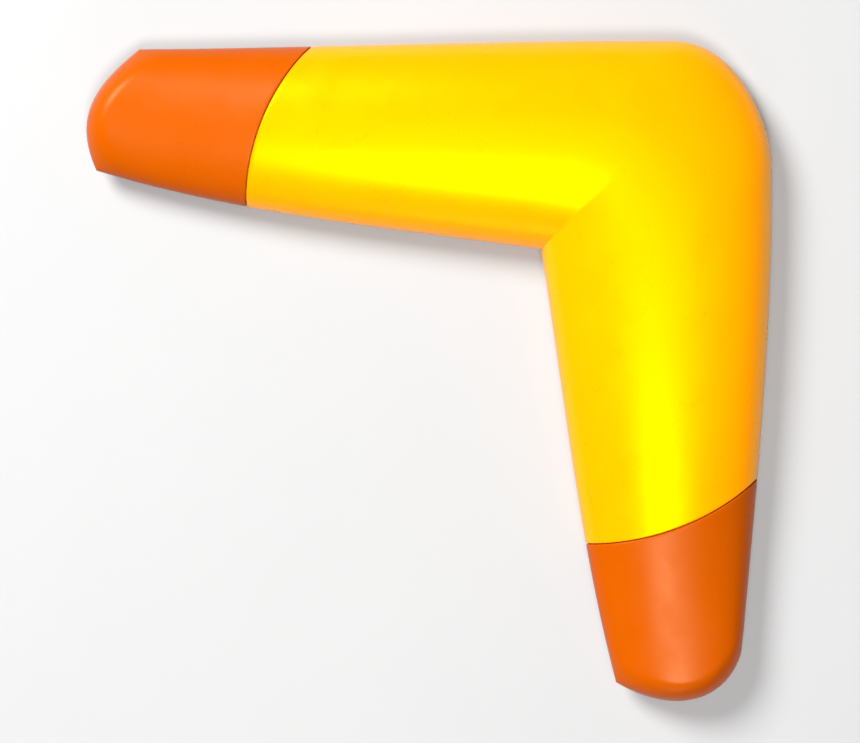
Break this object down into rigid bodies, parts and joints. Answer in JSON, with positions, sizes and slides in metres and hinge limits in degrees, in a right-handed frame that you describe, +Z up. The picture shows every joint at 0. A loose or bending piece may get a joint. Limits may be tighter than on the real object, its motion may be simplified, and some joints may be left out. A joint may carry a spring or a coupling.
{
  "type": "toy boomerang",
  "caption": "Plump right-angled toy boomerang: a glossy yellow hollow body in an upper and a lower shell, with orange slip-on tip caps, flat underneath.",
  "frame": {"origin": "middle of the bounding box, on the flat underside", "axes": "+Z up out of the crowned face; +Y from the inside of the elbow to its outer apex; X along the span, tip to tip"},
  "size_m": [0.3001, 0.181, 0.028],
  "materials": {
    "yellow_plastic": "glossy moulded",
    "orange_plastic": "glossy moulded",
    "steel": "plain turned",
    "screw_steel": "zinc plated",
    "foam": "matt foam"
  },
  "bodies": {
    "root": {"upper_shell": "yellow_plastic", "lower_shell": "yellow_plastic", "left_tip_cap": "orange_plastic", "right_tip_cap": "orange_plastic", "left_tip_weight": "steel", "right_tip_weight": "steel", "left_weight_pad": "foam", "right_weight_pad": "foam", "elbow_inner_screw": "screw_steel", "elbow_outer_screw": "screw_steel", "left_near_screw": "screw_steel", "left_far_screw": "screw_steel", "right_near_screw": "screw_steel", "right_far_screw": "screw_steel", "left_cap_screw": "screw_steel", "right_cap_screw": "screw_steel"}
  },
  "joints": []
}
